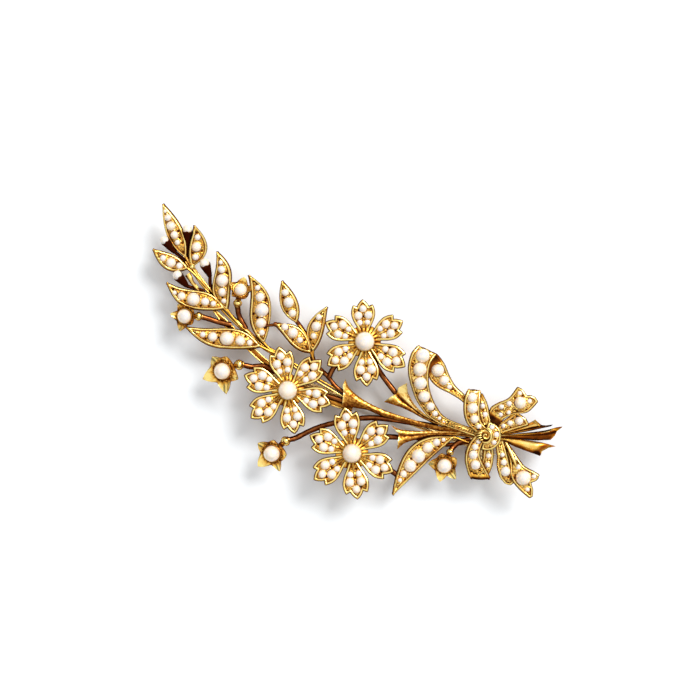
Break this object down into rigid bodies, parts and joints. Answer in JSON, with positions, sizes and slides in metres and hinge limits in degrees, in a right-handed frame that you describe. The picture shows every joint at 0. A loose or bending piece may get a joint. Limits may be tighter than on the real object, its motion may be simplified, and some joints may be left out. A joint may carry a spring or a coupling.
{
  "type": "brooch",
  "caption": "Gold flower-spray brooch set with half pearls and tied with a ribbon bow, with a hinged pin and a catch that locks by a turning sleeve.",
  "frame": {"origin": "on the surface that the brooch lies on, under the middle of its outline", "axes": "+X along the spray from its leafy tip to the cut stem ends, +Y across it, +Z out of its front"},
  "size_m": [0.0713, 0.0298, 0.0083],
  "materials": {
    "yellow_gold": "polished yellow gold with engraved pearl settings",
    "stem_gold": "darker, redder gold wire",
    "findings_gold": "plain worn gold",
    "pearl": "lustrous cream seed pearl"
  },
  "bodies": {
    "root": {"leaf_1": "yellow_gold", "leaf_2": "yellow_gold", "leaf_3": "yellow_gold", "leaf_4": "yellow_gold", "leaf_5": "yellow_gold", "leaf_6": "yellow_gold", "leaf_7": "yellow_gold", "leaf_8": "yellow_gold", "leaf_9": "yellow_gold", "leaf_10": "yellow_gold", "leaf_11": "yellow_gold", "spray_leaf_pearls": "pearl", "sprig_leaf_pearls": "pearl", "long_leaf_pearls": "pearl", "flower_a_petals": "yellow_gold", "flower_a_cup": "yellow_gold", "flower_a_centre_pearl": "pearl", "flower_a_petal_pearls": "pearl", "flower_b_petals": "yellow_gold", "flower_b_cup": "yellow_gold", "flower_b_centre_pearl": "pearl", "flower_b_petal_pearls": "pearl", "flower_c_petals": "yellow_gold", "flower_c_cup": "yellow_gold", "flower_c_centre_pearl": "pearl", "flower_c_petal_pearls": "pearl", "bud_1": "yellow_gold", "bud_2": "yellow_gold", "bud_3": "yellow_gold", "bud_4": "yellow_gold", "bud_5": "yellow_gold", "bud_pearls": "pearl", "bud_stalks": "stem_gold", "long_bud_stem": "stem_gold", "berry_cups": "yellow_gold", "berry_pearls": "pearl", "spray_wire": "stem_gold", "back_wire": "stem_gold", "sprig_wire": "stem_gold", "flower_stalks": "stem_gold", "leaf_bar": "stem_gold", "sheath_1": "yellow_gold", "sheath_2": "yellow_gold", "sheath_3": "yellow_gold", "stem_end_1": "yellow_gold", "stem_end_2": "yellow_gold", "stem_end_3": "yellow_gold", "bow_large_loop_front": "yellow_gold", "bow_large_loop_back": "yellow_gold", "bow_upper_loop": "yellow_gold", "bow_lower_loop": "yellow_gold", "bow_upper_tail": "yellow_gold", "bow_lower_tail": "yellow_gold", "bow_knot": "yellow_gold", "bow_pearls": "pearl", "hinge_bracket": "findings_gold", "hinge_rivet": "findings_gold", "catch": "findings_gold"},
    "pin": {"pin": "findings_gold"},
    "sleeve": {"catch_sleeve": "findings_gold"}
  },
  "joints": [
    {"name": "pin_hinge", "type": "hinge", "parent": "root", "child": "pin", "pos_m": [-0.008, -0.0015, 0.00136], "axis": [-0.1616, 0.9869, 0], "range_deg": [0, 80]},
    {"name": "sleeve_turn", "type": "hinge", "parent": "root", "child": "sleeve", "pos_m": [0.02526, 0.00395, 0.00136], "axis": [0.9869, 0.1616, 0], "range_deg": [0, 150]}
  ]
}
